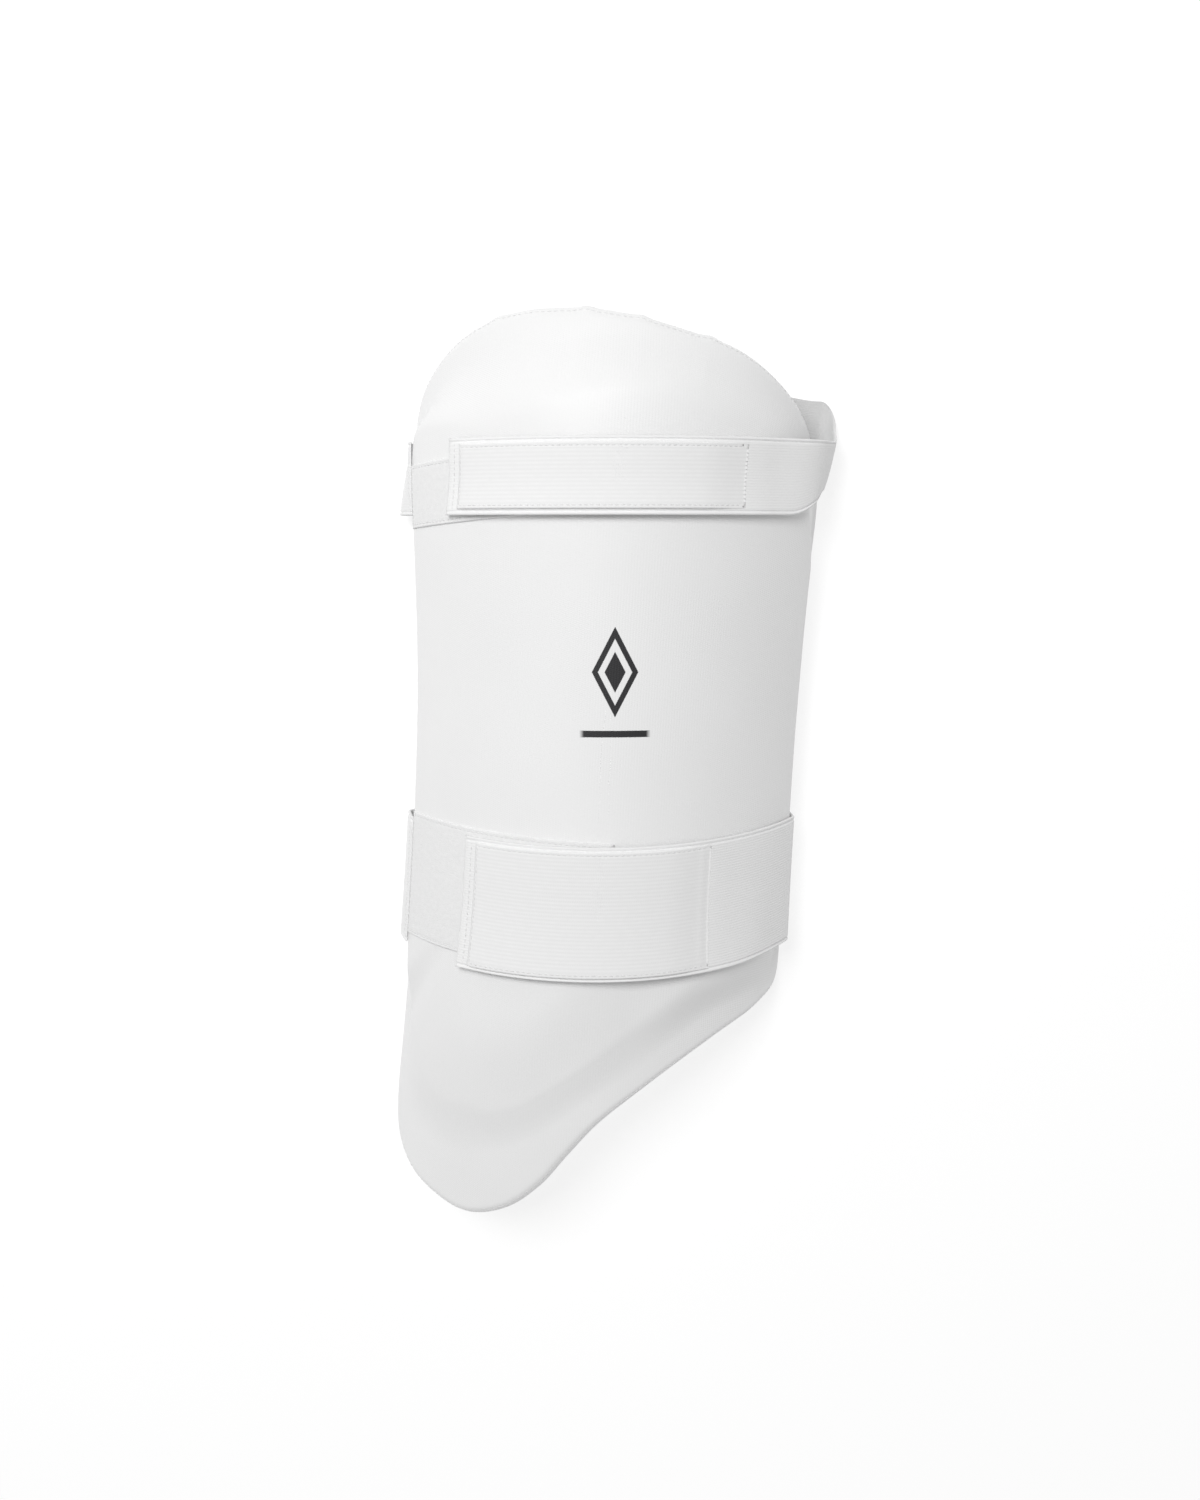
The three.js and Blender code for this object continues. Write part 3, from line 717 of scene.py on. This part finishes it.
class Value:
    """A node's output in a material, so that maths on it is written as an expression."""

    def __init__(self, finish, socket):
        self.finish = finish
        self.socket = socket

    def math(self, operation, *others):
        return self.finish.node("ShaderNodeMath", {"operation": operation}, [self, *others])

    def __add__(self, other):
        return self.math("ADD", other)

    __radd__ = __add__

    def __mul__(self, other):
        return self.math("MULTIPLY", other)

    __rmul__ = __mul__

    def __sub__(self, other):
        return self.math("SUBTRACT", other)

    def __rsub__(self, other):
        return (self * -1) + other


class Finish:
    """A material with one Principled shader, and the nodes that feed it."""

    def __init__(self, name):
        self.material = bpy.data.materials.new(name)
        self.material.use_nodes = True
        self.tree = self.material.node_tree
        self.shader = self.tree.nodes["Principled BSDF"]

    def node(self, kind, settings=None, inputs=(), output=0):
        """A node of a type, with its settings set first, then its sockets, by place or by name."""
        made = self.tree.nodes.new(kind)
        for name, value in (settings or {}).items():
            setattr(made, name, value)
        pairs = inputs.items() if isinstance(inputs, dict) else enumerate(inputs)
        for place, value in pairs:
            self.feed(made.inputs[place], value)
        return Value(self, made.outputs[output])

    def feed(self, socket, value):
        """Links a value to a socket, or sets the socket to a number or a colour."""
        if isinstance(value, Value):
            self.tree.links.new(value.socket, socket)
        else:
            socket.default_value = value

    def flat(self):
        """The cloth's own flat pattern in metres, from the UV map: both directions, and both at once."""
        flat = self.node("ShaderNodeUVMap", {"uv_map": "flat"})
        parts = self.node("ShaderNodeSeparateXYZ", inputs=[flat]).socket.node.outputs
        return Value(self, parts[0]), Value(self, parts[1]), flat

    def noise(self, place, scale, detail):
        """Soft noise from 0 to 1, with scale in lumps for each metre."""
        return self.node("ShaderNodeTexNoise", inputs={"Vector": place, "Scale": scale, "Detail": detail})

    def blend(self, factor, a, b):
        """Colour a where the factor is 0, and b where it is 1."""
        return self.node("ShaderNodeMix", {"data_type": "RGBA"}, {0: factor, 6: a, 7: b}, 2)

    def bump(self, strength, distance, height):
        """A normal bent by a height, with its distance in metres."""
        inputs = {"Strength": strength, "Distance": distance, "Height": height}
        return self.node("ShaderNodeBump", inputs=inputs)

    def set(self, **sockets):
        """Feeds the shader's sockets, named with an underscore for each space."""
        for name, value in sockets.items():
            self.feed(self.shader.inputs[name.replace("_", " ")], value)


# The printed mark, in metres: the lozenge's middle and half sides, shares of it for its hollow and its core,
# the bar's place and half sides, and a height between the pad's inner face and its outer one.
MARK_X = (FRAME_SHIFT + 4.6752) / 1000
MARK_Y = 0.0525
LOZENGE = (0.0105, 0.0205)
HOLLOW_SHARE = 0.74
CORE_SHARE = 0.46
BAR_Y = 0.0247
BAR = (0.016, 0.0016)
MARK_ABOVE = 0.063


def grey(shade):
    """An opaque grey, as the shader's sockets take it."""
    return shade, shade, shade, 1


def soft_mask(value, sharpness):
    """Mask that is 1 where a value is well above 0 and 0 below, with a soft edge."""
    return (value * sharpness).math("MINIMUM", 1).math("MAXIMUM", 0)


def printed_mark(finish):
    """Mask of the mark printed on the pad's face: a lozenge ring round a small lozenge, above a short bar.

    A lozenge is where the two distances from its middle, as shares of its half sides, add up to under one.
    """
    place = finish.node("ShaderNodeSeparateXYZ", inputs=[finish.node("ShaderNodeTexCoord", output=3)])
    x, y, z = (Value(finish, output) for output in place.socket.node.outputs)
    left = (x - MARK_X).math("ABSOLUTE")
    up = (y - MARK_Y).math("ABSOLUTE")
    away = left * (1 / LOZENGE[0]) + up * (1 / LOZENGE[1])
    outer, hollow, core = (soft_mask(share - away, 40) for share in (1, HOLLOW_SHARE, CORE_SHARE))
    bar_away = (left * (1 / BAR[0])).math("MAXIMUM", (y - BAR_Y).math("ABSOLUTE") * (1 / BAR[1]))
    bar = soft_mask(1 - bar_away, 8)
    return (outer - hollow + core).math("MAXIMUM", bar) * z.math("GREATER_THAN", MARK_ABOVE)


def wave(along, pitch, shift=0.0):
    """Cosine of a place along one direction, once for each pitch in metres, shifted by shift radians."""
    return (along * (2 * math.pi / pitch) + shift).math("COSINE")


def knit_finish():
    """Smooth fine knit: upright rows of small loops, each row's loops half a loop off the next row's."""
    finish = Finish("white_knit")
    across, along, flat = finish.flat()
    wale_pitch = 0.0011
    wale = wave(across, wale_pitch)
    course = wave(along, 0.0009, across * (math.pi / wale_pitch))
    fuzz = finish.noise(flat, 1400.0, 2.0)
    cloud = finish.noise(flat, 22.0, 4.0)
    height = wale * 0.25 + course * 0.2 + fuzz * 0.9 + cloud * 1.4
    bump = finish.bump(0.35, 0.00016, height)
    cloth = finish.blend(cloud, grey(0.86), grey(0.9))
    color = finish.blend(printed_mark(finish), cloth, (0.016, 0.016, 0.018, 1))
    finish.set(Base_Color=color, Roughness=0.5, Specular_IOR_Level=0.5, Sheen_Weight=0.1, Normal=bump)
    return finish.material


def band_finish():
    """Brushed elastic: faint ribs along it under a short nap, with painted shade greying the inner face."""
    finish = Finish("white_band")
    along, across, flat = finish.flat()
    rib = wave(across, 0.0012)
    nap = finish.noise(flat, 900.0, 4.0)
    cloud = finish.noise(flat, 60.0, 3.0)
    height = rib * 0.35 + nap * 1.5 + cloud * 0.8
    bump = finish.bump(0.45, 0.0002, height)
    # Painted shade: the inner face is greyed, standing in for the shade the pad casts on it.
    shaded_inside = finish.node("ShaderNodeAttribute", {"attribute_name": "shaded_inside"}, output=2)
    cloth = finish.blend(cloud, grey(0.86), grey(0.91))
    color = finish.blend(shaded_inside, cloth, grey(0.62))
    finish.set(Base_Color=color, Roughness=0.85, Specular_IOR_Level=0.2, Sheen_Weight=0.25, Normal=bump)
    return finish.material


def elastic_finish():
    """Ribbed elastic: rounded ribs along it, crossed by fine threads that show most between the ribs, with
    painted shade in the grooves between the ribs and a random mottle.
    """
    finish = Finish("white_elastic")
    along, across, flat = finish.flat()
    rib = wave(across, RIB_PITCH / 1000) * 0.5 + 0.5
    weft = wave(along, 0.0008, wave(across, 2 * RIB_PITCH / 1000) * 1.5)
    worn = finish.noise(flat, 260.0, 3.0)
    height = rib * 0.5 + weft * (1.1 - rib) * 0.2 + worn * 1.2
    bump = finish.bump(0.35, 0.0002, height)
    # Painted shade: the colour is darker between the ribs, where their grooves are, and mottled at random by
    # the noise.
    color = finish.blend(rib * worn, grey(0.85), grey(0.91))
    finish.set(Base_Color=color, Roughness=0.8, Specular_IOR_Level=0.25, Sheen_Weight=0.15, Normal=bump)
    return finish.material


def tape_finish():
    """Loop tape: a dense nap of tiny loops in small tufts, slightly mottled."""
    finish = Finish("white_loop_tape")
    flat = finish.flat()[2]
    nap = finish.noise(flat, 1500.0, 5.0)
    tuft = finish.noise(flat, 420.0, 3.0)
    bump = finish.bump(0.6, 0.0004, nap + tuft * 0.8)
    color = finish.blend(tuft, grey(0.82), grey(0.9))
    finish.set(Base_Color=color, Roughness=0.95, Specular_IOR_Level=0.1, Sheen_Weight=0.35, Normal=bump)
    return finish.material


def thread_finish(name, shade):
    """Twisted sewing thread: slanted fine lines along each stitch, darker in the twist's grooves as painted
    shade.
    """
    finish = Finish(name)
    along, across, flat = finish.flat()
    twist = wave(along + across * 0.8, 0.0005)
    bump = finish.bump(0.3, 0.0001, twist)
    # Painted shade: the colour is darker in the grooves of the twist.
    color = finish.blend(twist * 0.5 + 0.5, grey(shade * 0.92), grey(shade))
    finish.set(Base_Color=color, Roughness=0.6, Normal=bump)
    return finish.material


def make_finishes():
    """The materials of the pad, the bands, the elastics, the tapes and the thread."""
    return {"knit": knit_finish(), "band": band_finish(), "elastic": elastic_finish(), "tape": tape_finish(),
            "thread": thread_finish("white_thread", 0.84), "knot": thread_finish("grey_thread", 0.3)}


# Floor, lights and camera


FLOOR_HALF = 3.0
FLOOR_DROP = 0.0003
CAMERA_TILT = math.radians(8.5)
CAMERA_TARGET = (-0.0047, 0.0135, 0.045)
CAMERA_AWAY = 0.7
SENSOR_WIDTH = 36
LENS = 36.05
WORLD_LIGHT = 0.385


def make_floor():
    """A plain pale floor, just under the guard."""
    finish = Finish("pale_floor")
    finish.set(Base_Color=grey(0.34), Roughness=0.9, Emission_Color=grey(1), Emission_Strength=0.72)
    mesh = bpy.data.meshes.new("floor")
    corners = [(FLOOR_HALF * x, FLOOR_HALF * y, 0) for x, y in ((-1, -1), (1, -1), (1, 1), (-1, 1))]
    mesh.from_pydata(corners, [], [(0, 1, 2, 3)])
    mesh.materials.append(finish.material)
    floor = bpy.data.objects.new("floor", mesh)
    floor.location.z = -FLOOR_DROP
    bpy.context.scene.collection.objects.link(floor)


def make_light(name, energy, size, place, target=(0, 0, 0.04)):
    """A square soft light that faces its target."""
    data = bpy.data.lights.new(name, "AREA")
    data.energy = energy
    data.size = size
    light = bpy.data.objects.new(name, data)
    light.location = place
    light.rotation_euler = (Vector(place) - Vector(target)).to_track_quat("Z", "Y").to_euler()
    bpy.context.scene.collection.objects.link(light)


def make_world():
    """Plain white light from all sides."""
    world = bpy.data.worlds.new("studio")
    world.use_nodes = True
    light = world.node_tree.nodes["Background"].inputs
    light["Color"].default_value = grey(1)
    light["Strength"].default_value = WORLD_LIGHT
    bpy.context.scene.world = world


def make_camera():
    """The camera, leaning towards the hip end from straight above."""
    back = Vector((0, math.sin(CAMERA_TILT), math.cos(CAMERA_TILT)))
    up = Vector((0, math.cos(CAMERA_TILT), -math.sin(CAMERA_TILT)))
    right = up.cross(back)
    data = bpy.data.cameras.new("camera")
    data.sensor_width = SENSOR_WIDTH
    data.lens = LENS
    camera = bpy.data.objects.new("camera", data)
    turn = Matrix((right, up, back)).transposed().to_4x4()
    camera.matrix_world = Matrix.Translation(Vector(CAMERA_TARGET) + back * CAMERA_AWAY) @ turn
    bpy.context.scene.collection.objects.link(camera)
    bpy.context.scene.camera = camera


finishes = make_finishes()
build_pad(finishes["knit"])
build_rim_thread(finishes["thread"])
for strap_name, strap in STRAPS.items():
    build_strap(strap_name, strap, finishes)
make_floor()
make_light("key", 14.8, 0.6, (-0.42, 0.66, 1.38))
make_light("fill", 0.8, 1.5, (1.3, -0.3, 1.0))
make_world()
bpy.context.scene.view_settings.view_transform = "Standard"
make_camera()
